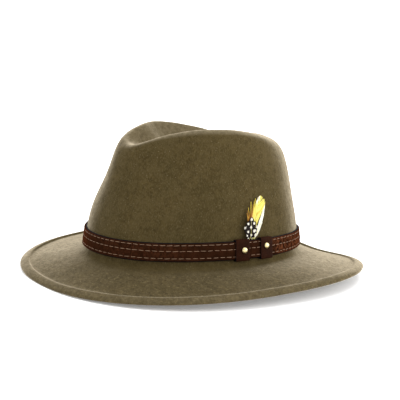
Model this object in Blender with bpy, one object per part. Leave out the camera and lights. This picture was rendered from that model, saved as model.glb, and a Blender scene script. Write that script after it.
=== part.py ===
"""Felt hat with a stitched leather band and a small feather trim.

Metres, +Z up. The hat stands level on the front and back ends of its brim.
The front is towards -Y and the wearer's left towards +X. The origin lies on
the surface it stands on, under the middle of the brim.

Turns run from the front through the wearer's left to the back, in degrees.
"""
import math

import bpy
import bmesh
import numpy as np
from mathutils import Vector

# Brim
BRIM_LENGTH = 0.3126
BRIM_WIDTH = 0.2941
BRIM_POWER = 2.28
EDGE_RADIUS = 0.0023
EDGE_LOW = 0.0015
SIDE_LIFT = 0.0116
WELT_WIDTH = 0.0070
FELT = 0.0023

# Crown, sizes outside the felt
HEAD_LENGTH = 0.2068
HEAD_WIDTH = 0.1742
CROWN_SHIFT = 0.0
BREAK_HEIGHT = 0.0209
BREAK_LIFT = 0.0028
BREAK_SINK = 0.0028
BREAK_REACH = 0.0022
PEAK_HEIGHT = 0.1338
TOP_POWER = 2.04
DENT_DEPTH = 0.0260
PINCH_DEPTH = 0.0111
PINCH_TURN = 37.7
PINCH_SPREAD = 27.7
PINCH_FOOT = 0.29
PINCH_FULL = 0.80

# Band
BAND_HEIGHT = 0.0162
BAND_FOOT = 0.0033
BACKING = 0.0009
STRAP = 0.0012
STRAP_INSET = 0.0007
GAP = 0.0003
BULGE_SPREAD = 16.0

# Keepers and rivets
KEEPER_WIDTH = 0.0133
KEEPER_WALL = 0.0010
FRONT_KEEPER_TURN = 85.4
REAR_KEEPER_TURN = 102.2
RIVET_RADIUS = 0.0026
RIVET_DOME = 0.0014
SHANK_RADIUS = 0.0009
FRONT_RIVET_SHIFT = 0.9
REAR_RIVET_SHIFT = -0.4
REAR_RIVET_RISE = 0.0021

# Feathers
QUILL = 0.0010
VANE = 0.0005
VANE_STEP = 0.0009
VANE_RISE = 0.0036

COLUMNS = 60
BAND_COLUMNS = 72

# One row for each direction: turn, lift of the brim edge as a share of
# SIDE_LIFT, height of the ridge as a share of PEAK_HEIGHT, and the share by
# which the wearer's left ridge is higher and the right one lower
DIRECTIONS = (
    (0, 0.000, 0.883, 0.000),
    (30, 0.209, 0.967, 0.000),
    (60, 0.535, 1.002, 0.008),
    (90, 0.844, 1.000, 0.014),
    (120, 1.000, 0.968, 0.016),
    (150, 0.722, 0.921, 0.015),
    (180, 0.000, 0.933, 0.000),
)

# One row for each level of the crown's wall: share of the ridge's height,
# then the oval's front, side and back as shares of the head's own
WALL = (
    (0.00, 1.000, 1.000, 1.000),
    (0.18, 0.983, 0.979, 0.983),
    (0.50, 0.901, 0.929, 0.907),
    (0.85, 0.822, 0.793, 0.831),
    (0.96, 0.774, 0.714, 0.749),
    (1.00, 0.717, 0.618, 0.648),
)

# One row for each step of the dent: share of the ridge's oval, height left
# as a share of the dent's depth
DENT = (
    (0.00, 0.00),
    (0.20, 0.01),
    (0.42, 0.08),
    (0.62, 0.25),
    (0.76, 0.50),
    (0.88, 0.80),
    (0.95, 0.95),
    (1.00, 1.00),
)

# The felt's section from the edge inwards: 0 to 1 is the brim, 1 to 2 the
# crown's wall, 2 to 3 the dent
TOP_STEPS = (
    0.28, 0.46, 0.64, 0.80, 0.90, 0.95, 0.98,
    1.02, 1.08, 1.18, 1.28, 1.38, 1.48, 1.58, 1.68, 1.77, 1.84, 1.90, 1.945, 1.975,
    2.00, 2.035, 2.08, 2.14, 2.22, 2.32, 2.45, 2.62, 2.80,
)
UNDER_STEPS = (
    0.12, 0.30, 0.55, 0.78, 0.90, 0.97,
    1.04, 1.18, 1.36, 1.52, 1.66, 1.78, 1.87, 1.94,
    2.00, 2.08, 2.18, 2.34, 2.55, 2.78,
)

# The welt and the rolled edge: distance out from the edge's middle line and
# height over the brim, each in edge radii, the welt's inner side last
EDGE = (
    (0.00, -1.00),
    (0.71, -0.71),
    (1.00, -0.05),
    (0.66, 0.54),
    (0.00, 0.80),
)
WELT = (
    # share of the welt's width, height in edge radii
    (0.30, 0.98),
    (0.60, 1.06),
    (0.86, 1.00),
    (0.97, 0.55),
    (1.00, 0.02),
)

# Feathers: how far the quill stands from the middle between the keepers,
# length over the band, half width, lean and bend sideways, layer from the crown
FEATHERS = {
    "guinea_feather": (-0.00195, 0.0190, 0.0078, -0.0002, -0.0004, 3),
    "amber_feather": (-0.00065, 0.0335, 0.0058, -0.0034, -0.0010, 2),
    "yellow_feather": (0.00065, 0.0370, 0.0072, 0.0085, -0.0020, 1),
    "cream_feather": (0.00195, 0.0320, 0.0040, 0.0125, 0.0014, 0),
}

# Outline of a feather: share of its length, then its left and right edge as
# shares of the half width. Each step back in is the tip of a lock of barbs.
OUTLINES = {
    "guinea_feather": (
        (0.05, 0.30, 0.30),
        (0.20, 0.62, 0.60),
        (0.38, 0.96, 0.92),
        (0.45, 0.84, 0.80),
        (0.62, 1.00, 1.00),
        (0.68, 0.84, 0.86),
        (0.84, 0.78, 0.80),
        (0.88, 0.62, 0.58),
        (1.00, 0.12, 0.12),
    ),
    "amber_feather": (
        (0.05, 0.20, 0.20),
        (0.30, 0.55, 0.60),
        (0.50, 1.00, 0.70),
        (0.56, 0.62, 0.56),
        (0.76, 0.90, 0.60),
        (0.81, 0.40, 0.44),
        (1.00, 0.30, 0.12),
    ),
    "yellow_feather": (
        (0.05, 0.14, 0.14),
        (0.25, 0.30, 0.30),
        (0.48, 0.44, 0.46),
        (0.52, 0.38, 0.40),
        (0.66, 0.62, 0.74),
        (0.70, 0.52, 0.66),
        (0.84, 0.68, 1.00),
        (0.88, 0.58, 0.84),
        (0.95, 0.44, 0.50),
        (1.00, 0.08, 0.08),
    ),
    "cream_feather": (
        (0.05, 0.20, 0.20),
        (0.30, 0.50, 0.62),
        (0.52, 0.60, 0.96),
        (0.57, 0.52, 0.80),
        (0.78, 0.50, 0.88),
        (0.82, 0.42, 0.62),
        (1.00, 0.10, 0.10),
    ),
}

# Colour, roughness and metallic value of each material
MATERIALS = {
    "felt": ((0.125, 0.095, 0.050), 0.95, 0.0),
    "backing_leather": ((0.018, 0.010, 0.009), 0.50, 0.0),
    "strap_leather": ((0.052, 0.012, 0.008), 0.42, 0.0),
    "keeper_leather": ((0.045, 0.014, 0.010), 0.50, 0.0),
    "brass": ((0.86, 0.72, 0.34), 0.22, 1.0),
    "guinea": ((0.020, 0.016, 0.014), 0.70, 0.0),
    "amber": ((0.62, 0.26, 0.04), 0.70, 0.0),
    "yellow": ((0.86, 0.62, 0.07), 0.70, 0.0),
    "cream": ((0.86, 0.80, 0.60), 0.70, 0.0),
}


def clear_scene():
    for item in list(bpy.data.objects):
        bpy.data.objects.remove(item, do_unlink=True)


def make_material(name):
    colour, roughness, metallic = MATERIALS[name]
    material = bpy.data.materials.new(name)
    material.use_nodes = True
    shader = material.node_tree.nodes["Principled BSDF"]
    shader.inputs["Base Color"].default_value = (*colour, 1.0)
    shader.inputs["Roughness"].default_value = roughness
    shader.inputs["Metallic"].default_value = metallic
    return material


def through(rows, column, at, level_ends=False):
    """A smooth curve through one column of a table, with no overshoot."""
    x = np.array([row[0] for row in rows], float)
    y = np.array([row[column] for row in rows], float)
    width = np.diff(x)
    step = np.diff(y) / width
    slope = np.zeros(len(x))
    slope[0] = 0.0 if level_ends else step[0]
    slope[-1] = 0.0 if level_ends else step[-1]
    for i in range(1, len(x) - 1):
        if step[i - 1] * step[i] > 0:
            before = 2 * width[i] + width[i - 1]
            after = width[i] + 2 * width[i - 1]
            slope[i] = (before + after) / (before / step[i - 1] + after / step[i])
    at = np.asarray(at, float)
    i = np.clip(np.searchsorted(x, at, side="right") - 1, 0, len(x) - 2)
    u = (at - x[i]) / width[i]
    start = (2 * u ** 3 - 3 * u ** 2 + 1) * y[i] + (u ** 3 - 2 * u ** 2 + u) * width[i] * slope[i]
    end = (3 * u ** 2 - 2 * u ** 3) * y[i + 1] + (u ** 3 - u ** 2) * width[i] * slope[i + 1]
    return start + end


def rounded(rows, column, turn):
    """A level-ended cubic through a direction table, the same on both sides."""
    x = np.array([row[0] for row in rows], float)
    y = np.array([row[column] for row in rows], float)
    slope = np.gradient(y, x)
    slope[0] = 0.0
    slope[-1] = 0.0
    side = np.abs((np.asarray(turn, float) + 180.0) % 360.0 - 180.0)
    i = np.clip(np.searchsorted(x, side, side="right") - 1, 0, len(x) - 2)
    width = x[i + 1] - x[i]
    u = (side - x[i]) / width
    start = (2 * u ** 3 - 3 * u ** 2 + 1) * y[i] + (u ** 3 - 2 * u ** 2 + u) * width * slope[i]
    end = (3 * u ** 2 - 2 * u ** 3) * y[i + 1] + (u ** 3 - u ** 2) * width * slope[i + 1]
    return start + end


def oval(turn, end, side, power):
    """Distance from the middle to an oval's edge."""
    angle = np.radians(turn)
    across = np.abs(np.sin(angle) / side) ** power
    along = np.abs(np.cos(angle) / end) ** power
    return (across + along) ** (-1.0 / power)


def break_height(turn):
    """Height of the line where the brim meets the crown."""
    return BREAK_HEIGHT + BREAK_LIFT * (1 - np.cos(2 * np.radians(turn))) / 2


def ridge_height(turn):
    """Height of the crown's ridge, which leans a little to the wearer's right."""
    lean = np.sign(np.sin(np.radians(turn))) * rounded(DIRECTIONS, 3, turn)
    return PEAK_HEIGHT * (rounded(DIRECTIONS, 2, turn) + lean)


def wall_radius(turn, level):
    """Distance from the crown's middle line to its wall at a level of 0 to 1."""
    front = through(WALL, 1, level) * HEAD_LENGTH / 2
    side = through(WALL, 2, level) * HEAD_WIDTH / 2
    back = through(WALL, 3, level) * HEAD_LENGTH / 2
    end = np.where(np.cos(np.radians(turn)) > 0, front, back)
    power = 2.0 + (TOP_POWER - 2.0) * level
    return oval(turn, end, side, power) - pinch(turn, level)


def pinch(turn, level):
    """Depth of the two dents that pinch the crown's front."""
    side = np.abs((turn + 180.0) % 360.0 - 180.0)
    left = np.exp(-((side - PINCH_TURN) / PINCH_SPREAD) ** 2)
    right = np.exp(-((side + PINCH_TURN) / PINCH_SPREAD) ** 2)
    ramp = np.clip((level - PINCH_FOOT) / (PINCH_FULL - PINCH_FOOT), 0.0, 1.0)
    return PINCH_DEPTH * (left + right) * ramp * ramp * (3 - 2 * ramp)


def brim_point(turn, out):
    """Distance and height on the brim, out from 0 at the crown to 1 at its edge."""
    inner = wall_radius(turn, 0.0 * turn)
    end = BRIM_LENGTH / 2 - EDGE_RADIUS - CROWN_SHIFT * np.cos(np.radians(turn))
    outer = oval(turn, end, BRIM_WIDTH / 2 - EDGE_RADIUS, BRIM_POWER)
    edge = EDGE_LOW + SIDE_LIFT * rounded(DIRECTIONS, 1, turn)
    reach = (outer - inner) * out
    foot = break_height(turn) - BREAK_SINK
    height = foot + (edge - foot) * out + BREAK_SINK * np.exp(-reach / BREAK_REACH)
    return inner + reach, height


def felt_point(turn, section):
    """A point on the felt's upper side, for arrays of turns and section steps."""
    turn, section = np.broadcast_arrays(np.asarray(turn, float), np.asarray(section, float))
    angle = np.radians(turn)
    brim_r, brim_z = brim_point(turn, np.clip(1.0 - section, 0.0, 1.0))
    level = np.clip(section - 1.0, 0.0, 1.0)
    ridge = ridge_height(turn)
    wall_r = wall_radius(turn, level)
    wall_z = break_height(turn) + (ridge - break_height(turn)) * level
    share = np.clip(3.0 - section, 0.0, 1.0)
    floor = PEAK_HEIGHT - DENT_DEPTH
    dent_z = floor + (ridge - floor) * through(DENT, 1, share)
    radius = np.where(section < 1.0, brim_r, wall_r * np.where(section > 2.0, share, 1.0))
    height = np.where(section < 1.0, brim_z, np.where(section > 2.0, dent_z, wall_z))
    return np.stack(
        (radius * np.sin(angle), -CROWN_SHIFT - radius * np.cos(angle), height), axis=-1
    )


def felt_normal(turn, section):
    """The way out of the felt's upper side."""
    turn, section = np.broadcast_arrays(np.asarray(turn, float), np.asarray(section, float))
    low = np.clip(section - 0.004, 0.0, 2.99)
    high = np.clip(section + 0.004, 0.004, 2.998)
    around = felt_point(turn + 0.5, section) - felt_point(turn - 0.5, section)
    along = felt_point(turn, high) - felt_point(turn, low)
    normal = np.cross(around, along)
    return normal / np.linalg.norm(normal, axis=-1, keepdims=True)


def edge_ring(turns, out, up):
    """A ring of the rolled edge, in edge radii from the edge's middle line."""
    middle = felt_point(turns, 0.0)
    normal = felt_normal(turns, 0.02)
    angle = np.radians(turns)
    flat = np.stack((np.sin(angle), -np.cos(angle), 0.0 * angle), axis=-1)
    outward = flat - normal * np.sum(flat * normal, axis=-1, keepdims=True)
    outward = outward / np.linalg.norm(outward, axis=-1, keepdims=True)
    return middle + EDGE_RADIUS * (out * outward + up * normal)


def welt_ring(turns, share, up):
    """A ring of the welt, on top of the brim beside its edge."""
    inner = wall_radius(turns, 0.0 * turns)
    outer, _ = brim_point(turns, 1.0 + 0.0 * turns)
    section = share * WELT_WIDTH / (outer - inner)
    return felt_point(turns, section) + EDGE_RADIUS * up * felt_normal(turns, section)


def felt_rings():
    """All rings of the felt, from the dent's underside out and back in on top."""
    turns = np.arange(COLUMNS) * 360.0 / COLUMNS
    rings = []
    for section in reversed(UNDER_STEPS):
        rings.append(felt_point(turns, section) - FELT * felt_normal(turns, section))
    for out, up in EDGE:
        rings.append(edge_ring(turns, out, up))
    for share, up in WELT:
        rings.append(welt_ring(turns, share, up))
    for section in TOP_STEPS:
        rings.append(felt_point(turns, section))
    return rings


def ring_mesh(name, rings, closed=False, poles=None):
    """A mesh of rings joined by quads; poles are its first and last points."""
    mesh = bmesh.new()
    loops = []
    for ring in rings:
        loops.append([mesh.verts.new(point) for point in ring])
    count = len(loops[0])
    pairs = list(zip(loops, loops[1:]))
    if closed:
        pairs.append((loops[-1], loops[0]))
    for lower, upper in pairs:
        for i in range(count):
            j = (i + 1) % count
            mesh.faces.new((lower[i], lower[j], upper[j], upper[i]))
    if poles is not None:
        first = mesh.verts.new(poles[0])
        last = mesh.verts.new(poles[1])
        for i in range(count):
            j = (i + 1) % count
            mesh.faces.new((first, loops[0][j], loops[0][i]))
            mesh.faces.new((last, loops[-1][i], loops[-1][j]))
    bmesh.ops.recalc_face_normals(mesh, faces=mesh.faces)
    return mesh_object(name, mesh)


def mesh_object(name, mesh):
    data = bpy.data.meshes.new(name)
    mesh.to_mesh(data)
    mesh.free()
    body = bpy.data.objects.new(name, data)
    bpy.context.scene.collection.objects.link(body)
    return body


def finish(body, material, sharp=40.0):
    body.data.materials.append(make_material(material))
    body.data.shade_smooth()
    body.data.set_sharp_from_angle(angle=math.radians(sharp))


def make_felt():
    """Crown, brim and edge in one piece; only its lowest felt is pressed flat."""
    rings = felt_rings()
    for ring in rings:
        ring[:, 2] = np.maximum(ring[:, 2], 0.0)
    floor = PEAK_HEIGHT - DENT_DEPTH
    poles = ((0.0, -CROWN_SHIFT, floor - FELT), (0.0, -CROWN_SHIFT, floor))
    body = ring_mesh("felt_body", rings, poles=poles)
    finish(body, "felt")


def bulge(turn):
    """How far the band stands out for the keepers' back walls and the quills."""
    middle = (FRONT_KEEPER_TURN + REAR_KEEPER_TURN) / 2
    half = (REAR_KEEPER_TURN - FRONT_KEEPER_TURN) / 2 + keeper_half_turn()
    past = (np.abs(turn - middle) - half - 1.0) / BULGE_SPREAD
    ramp = np.clip(1.0 - past, 0.0, 1.0)
    return (KEEPER_WALL + GAP) * ramp * ramp * (3 - 2 * ramp)


def keeper_half_turn():
    return math.degrees(KEEPER_WIDTH / HEAD_WIDTH)


def on_crown(turn, rise, out):
    """A place by its turn, its rise over the band's foot and its distance out."""
    turn, rise, out = np.broadcast_arrays(
        np.asarray(turn, float), np.asarray(rise, float), np.asarray(out, float)
    )
    height = BAND_FOOT + rise
    level = height / (ridge_height(turn) - break_height(turn))
    section = 1.0 + level
    return felt_point(turn, section) + out[..., None] * felt_normal(turn, section)


def band_ring(name, low, high, inner, outer, material):
    """A strap all round the crown, between two rises and two distances out."""
    turns = np.arange(BAND_COLUMNS) * 360.0 / BAND_COLUMNS
    swell = bulge(turns)
    soft = (outer - inner) * 0.3
    corners = (
        (low, inner),
        (low, outer - soft),
        (low + soft, outer),
        ((low + high) / 2, outer),
        (high - soft, outer),
        (high, outer - soft),
        (high, inner),
        ((low + high) / 2, inner),
    )
    rings = [on_crown(turns, rise, out + swell) for rise, out in corners]
    body = ring_mesh(name, rings, closed=True)
    finish(body, material)


def make_band():
    strap_inner = GAP + BACKING + GAP
    band_ring("band_backing", 0.0, BAND_HEIGHT, GAP, GAP + BACKING, "backing_leather")
    band_ring(
        "band_face", STRAP_INSET, BAND_HEIGHT - STRAP_INSET,
        strap_inner, strap_inner + STRAP, "strap_leather",
    )


def keeper_mesh(name, turn):
    """A leather loop round the band, following the crown's curve."""
    band_inner = GAP + KEEPER_WALL + GAP
    band_outer = band_inner + BACKING + GAP + STRAP
    outside = (
        (-GAP - KEEPER_WALL, GAP),
        (-GAP - KEEPER_WALL, band_outer + GAP),
        (-GAP, band_outer + GAP + KEEPER_WALL),
        (BAND_HEIGHT / 2, band_outer + GAP + KEEPER_WALL),
        (BAND_HEIGHT + GAP, band_outer + GAP + KEEPER_WALL),
        (BAND_HEIGHT + GAP + KEEPER_WALL, band_outer + GAP),
        (BAND_HEIGHT + GAP + KEEPER_WALL, GAP),
        (BAND_HEIGHT / 2, GAP),
    )
    inside = (
        (-GAP, band_inner - GAP),
        (-GAP, band_outer),
        (-GAP, band_outer + GAP),
        (BAND_HEIGHT / 2, band_outer + GAP),
        (BAND_HEIGHT + GAP, band_outer + GAP),
        (BAND_HEIGHT + GAP, band_outer),
        (BAND_HEIGHT + GAP, band_inner - GAP),
        (BAND_HEIGHT / 2, band_inner - GAP),
    )
    half = keeper_half_turn()
    turns = (turn - half, turn - half / 2, turn, turn + half / 2, turn + half)
    rings = []
    for at in turns:
        rings.append([on_crown(at, rise, out) for rise, out in outside])
    for at in reversed(turns):
        rings.append([on_crown(at, rise, out) for rise, out in inside])
    return ring_mesh(name, rings, closed=True)


def rivet_frame(turn, rise):
    """Middle of the keeper's face and the way out of it."""
    face = GAP + KEEPER_WALL + GAP + BACKING + GAP + STRAP + GAP + KEEPER_WALL
    middle = Vector(on_crown(turn, rise, face))
    behind = Vector(on_crown(turn, rise, face - KEEPER_WALL))
    outward = (middle - behind).normalized()
    return middle, outward, Vector((0.0, 0.0, 1.0)).rotation_difference(outward)


def turned(name, profile, place, segments=20):
    """A solid turned round an axis from distance and height pairs, ends on the axis."""
    middle, _, aim = place
    rings = []
    for radius, height in profile[1:-1]:
        ring = []
        for i in range(segments):
            angle = 2 * math.pi * i / segments
            point = Vector((radius * math.cos(angle), radius * math.sin(angle), height))
            ring.append(middle + aim @ point)
        rings.append(ring)
    ends = [middle + aim @ Vector((0.0, 0.0, profile[i][1])) for i in (0, -1)]
    return ring_mesh(name, rings, poles=ends)


def cut(body, cutter):
    cutter.display_type = "WIRE"
    cutter.hide_render = True
    modifier = body.modifiers.new("rivet_hole", "BOOLEAN")
    modifier.operation = "DIFFERENCE"
    modifier.solver = "EXACT"
    modifier.object = cutter


def make_keeper(name, rivet_name, turn, shift, rise):
    """A leather loop round the band with its rivet, set off its middle by a turn."""
    place = rivet_frame(turn + shift, rise)
    body = keeper_mesh(name, turn)
    hole = SHANK_RADIUS + GAP
    depth = KEEPER_WALL + GAP / 2
    drill = ((0.0, -depth), (hole, -depth), (hole, depth), (0.0, depth))
    cutter = turned(rivet_name + "_hole", drill, place)
    cut(body, cutter)
    finish(body, "keeper_leather")
    head = (
        (0.0, -KEEPER_WALL),
        (SHANK_RADIUS, -KEEPER_WALL),
        (SHANK_RADIUS, GAP),
        (RIVET_RADIUS, GAP),
        (RIVET_RADIUS, GAP + 0.25 * RIVET_DOME),
        (0.88 * RIVET_RADIUS, GAP + 0.62 * RIVET_DOME),
        (0.62 * RIVET_RADIUS, GAP + 0.86 * RIVET_DOME),
        (0.30 * RIVET_RADIUS, GAP + 0.97 * RIVET_DOME),
        (0.0, GAP + RIVET_DOME),
    )
    rivet = turned(rivet_name, head, place)
    finish(rivet, "brass")


def along_feather(name, share, across):
    """Turn and rise of a place on a feather, across in metres from its shaft."""
    start, length, _, lean, bend, _ = FEATHERS[name]
    middle = (FRONT_KEEPER_TURN + REAR_KEEPER_TURN) / 2
    free = max(share, 0.0)
    shift = start + lean * free + bend * 4 * free * (1 - free) + across
    rise = BAND_HEIGHT + length * share
    radius = oval(middle, HEAD_LENGTH / 2, HEAD_WIDTH / 2, 2.0)
    return middle + math.degrees(shift / radius), rise


def feather_layer(name, share):
    """How far out a feather's back lies, easing from behind the band to its layer."""
    layer = FEATHERS[name][5]
    ease = min(max((share * FEATHERS[name][1] - GAP) / VANE_RISE, 0.0), 1.0)
    return GAP + 0.0001 + layer * VANE_STEP * ease * ease * (3 - 2 * ease)


def make_feather(name, material):
    """A vane with locked edges on a quill that goes down behind the band."""
    half_width = FEATHERS[name][2]
    half_quill = QUILL / 2
    stations = [(-0.80 * BAND_HEIGHT / FEATHERS[name][1], half_quill, half_quill)]
    for rise in (0.0, 0.25, 0.5, 0.75, 1.0):
        stations.append((rise * VANE_RISE / FEATHERS[name][1], half_quill, half_quill))
    free = (VANE_RISE + GAP) / FEATHERS[name][1]
    for share, left, right in OUTLINES[name]:
        stations.append((free + (1 - free) * share, left * half_width, right * half_width))
    sections = []
    for share, left, right in stations:
        back = feather_layer(name, share)
        stem = QUILL * (1.0 - 0.45 * max(share, 0.0)) * 0.9
        edge = min(VANE, stem) if share > 0.0 else stem
        places = (
            (-left, back),
            (0.0, back),
            (right, back),
            (right, back + edge),
            (0.0, back + stem),
            (-left, back + edge),
        )
        section = []
        for across, out in places:
            turn, rise = along_feather(name, share, across)
            section.append(on_crown(turn, rise, out))
        sections.append(section)
    body = capped_tube(name, sections)
    finish(body, material)


def capped_tube(name, sections):
    """Sections joined by quads, with a flat cap at each end."""
    mesh = bmesh.new()
    loops = []
    for section in sections:
        loops.append([mesh.verts.new(point) for point in section])
    count = len(loops[0])
    for lower, upper in zip(loops, loops[1:]):
        for i in range(count):
            j = (i + 1) % count
            mesh.faces.new((lower[i], lower[j], upper[j], upper[i]))
    mesh.faces.new(tuple(reversed(loops[0])))
    mesh.faces.new(tuple(loops[-1]))
    bmesh.ops.recalc_face_normals(mesh, faces=mesh.faces)
    return mesh_object(name, mesh)


def main():
    clear_scene()
    make_felt()
    make_band()
    middle = BAND_HEIGHT / 2
    make_keeper("keeper_front", "rivet_front", FRONT_KEEPER_TURN, FRONT_RIVET_SHIFT, middle)
    rear_rise = middle + REAR_RIVET_RISE
    make_keeper("keeper_rear", "rivet_rear", REAR_KEEPER_TURN, REAR_RIVET_SHIFT, rear_rise)
    make_feather("guinea_feather", "guinea")
    make_feather("amber_feather", "amber")
    make_feather("yellow_feather", "yellow")
    make_feather("cream_feather", "cream")


main()
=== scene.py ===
import math
from collections import namedtuple

import bmesh
import bpy
import numpy as np
from mathutils import Matrix, Vector, noise
from mathutils.bvhtree import BVHTree


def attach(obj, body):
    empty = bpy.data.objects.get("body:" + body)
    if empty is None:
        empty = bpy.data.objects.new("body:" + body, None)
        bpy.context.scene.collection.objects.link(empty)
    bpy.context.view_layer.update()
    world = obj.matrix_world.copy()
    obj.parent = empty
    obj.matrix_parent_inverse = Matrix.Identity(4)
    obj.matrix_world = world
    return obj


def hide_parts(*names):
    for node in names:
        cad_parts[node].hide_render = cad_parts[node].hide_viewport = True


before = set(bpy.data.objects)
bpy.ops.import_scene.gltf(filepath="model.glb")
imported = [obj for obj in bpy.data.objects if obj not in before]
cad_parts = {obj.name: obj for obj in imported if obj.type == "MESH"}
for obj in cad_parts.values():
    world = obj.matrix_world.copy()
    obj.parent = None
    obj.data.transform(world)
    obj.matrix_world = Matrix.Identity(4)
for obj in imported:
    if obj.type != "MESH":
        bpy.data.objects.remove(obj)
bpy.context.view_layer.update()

# Sizes of the hat, its band and its trim, the same as the solids': lengths in
# metres, and turns in degrees from the front round by the wearer's left
BRIM_LENGTH = 0.3126
BRIM_WIDTH = 0.2941
BRIM_POWER = 2.28
HEAD_LENGTH = 0.2068
HEAD_WIDTH = 0.1742
BAND_BASE = 0.0242
BAND_LIFT = 0.0028
BAND_HEIGHT = 0.0162
GAP = 0.0003
BACKING = 0.0009
STRAP = 0.0012
KEEPER_WALL = 0.0010
KEEPER_TURN = 4.38
FRONT_KEEPER = 85.4
REAR_KEEPER = 102.2
FRONT_RIVET = 86.3
REAR_RIVET = 101.8
REAR_RIVET_RISE = 0.0021
RIVET_RADIUS = 0.0026
RIVET_DOME = 0.00145
BULGE_SPREAD = 16.0
BETWEEN_KEEPERS = (FRONT_KEEPER + REAR_KEEPER) / 2
STRAP_IN = GAP + BACKING + GAP
STRAP_OUT = STRAP_IN + STRAP

# How far out from the middle the rays start that find the crown
OUTSIDE_CROWN = 0.13

# The nap: hairs on each square metre of felt, one hair's half width and
# length, and the least height of its points over the floor
NAP_DENSITY = 160000.0
HAIR_HALF_WIDTH = 0.000022
HAIR_LENGTH = 0.0012
HAIR_CLEARANCE = 0.0002

# The stitch rows on the strap, as shares of the band's height, and the
# stitches: their steps, length, thread's radius and depth in the leather
STITCH_ROWS = (0.190, 0.575, 0.875)
STITCH_PITCH = 0.0060
STITCH_LENGTH = 0.0051
STITCH_RADIUS = 0.00023
STITCH_SUNK = 0.00022


# Node trees

# A colour mix's inputs and output, and a random number's, whose names repeat
MIX_FROM, MIX_TO, MIXED = 6, 7, 2
RANDOM_LOW, RANDOM_HIGH, RANDOM_NUMBER = 2, 3, 1


def join(tree, socket, value):
    """Links another node's output to a socket, or sets the socket's own value."""
    if isinstance(value, bpy.types.NodeSocket):
        tree.links.new(value, socket)
    elif socket.type == "RGBA" and len(value) == 3:
        socket.default_value = (*value, 1.0)
    else:
        socket.default_value = value


def tree_node(tree, kind, inputs=(), **settings):
    """A new node with its settings made and its inputs joined."""
    made = tree.nodes.new(kind)
    for key, value in settings.items():
        setattr(made, key, value)
    for key, value in dict(inputs).items():
        join(tree, made.inputs[key], value)
    return made


# Finishes


class Finish:
    """One surface finish, built up by short calls that each add a pattern or mix two."""

    def __init__(self, name):
        self.material = bpy.data.materials.new(name)
        self.material.use_nodes = True
        self.tree = self.material.node_tree
        self.shader = self.tree.nodes["Principled BSDF"]

    def node(self, kind, inputs=(), **settings):
        return tree_node(self.tree, "ShaderNode" + kind, inputs, **settings)

    def place(self, scale=(1, 1, 1), turn=(0, 0, 0)):
        source = self.node("TexCoord").outputs["Object"]
        inputs = {"Vector": source, "Scale": scale, "Rotation": turn}
        return self.node("Mapping", inputs).outputs["Vector"]

    def noise(self, place, scale, detail=3.0, rough=0.55, distortion=0.0):
        inputs = {"Vector": place, "Scale": scale, "Detail": detail, "Roughness": rough}
        inputs["Distortion"] = distortion
        return self.node("TexNoise", inputs).outputs["Fac"]

    def cells(self, place, scale):
        inputs = {"Vector": place, "Scale": scale}
        return self.node("TexVoronoi", inputs).outputs["Distance"]

    def math(self, operation, a, b=0.0):
        return self.node("Math", {0: a, 1: b}, operation=operation).outputs[0]

    def times(self, a, b):
        return self.math("MULTIPLY", a, b)

    def span(self, value, low, high, out_low=0.0, out_high=1.0):
        inputs = {"Value": value, "From Min": low, "From Max": high}
        inputs.update({"To Min": out_low, "To Max": out_high})
        made = self.node("MapRange", inputs, interpolation_type="SMOOTHSTEP")
        return made.outputs["Result"]

    def blend(self, share, a, b):
        inputs = {"Factor": share, MIX_FROM: a, MIX_TO: b}
        return self.node("Mix", inputs, data_type="RGBA").outputs[MIXED]

    def relief(self, height, depth, strength=1.0, over=None):
        inputs = {"Height": height, "Distance": depth, "Strength": strength}
        if over is not None:
            inputs["Normal"] = over
        return self.node("Bump", inputs).outputs["Normal"]

    def attribute(self, name):
        return self.node("Attribute", attribute_name=name).outputs["Fac"]

    def facing(self):
        return self.node("LayerWeight", {"Blend": 0.5}).outputs["Facing"]

    def finish(self, **inputs):
        for key, value in inputs.items():
            join(self.tree, self.shader.inputs[key.replace("_", " ")], value)
        return self.material


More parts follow.
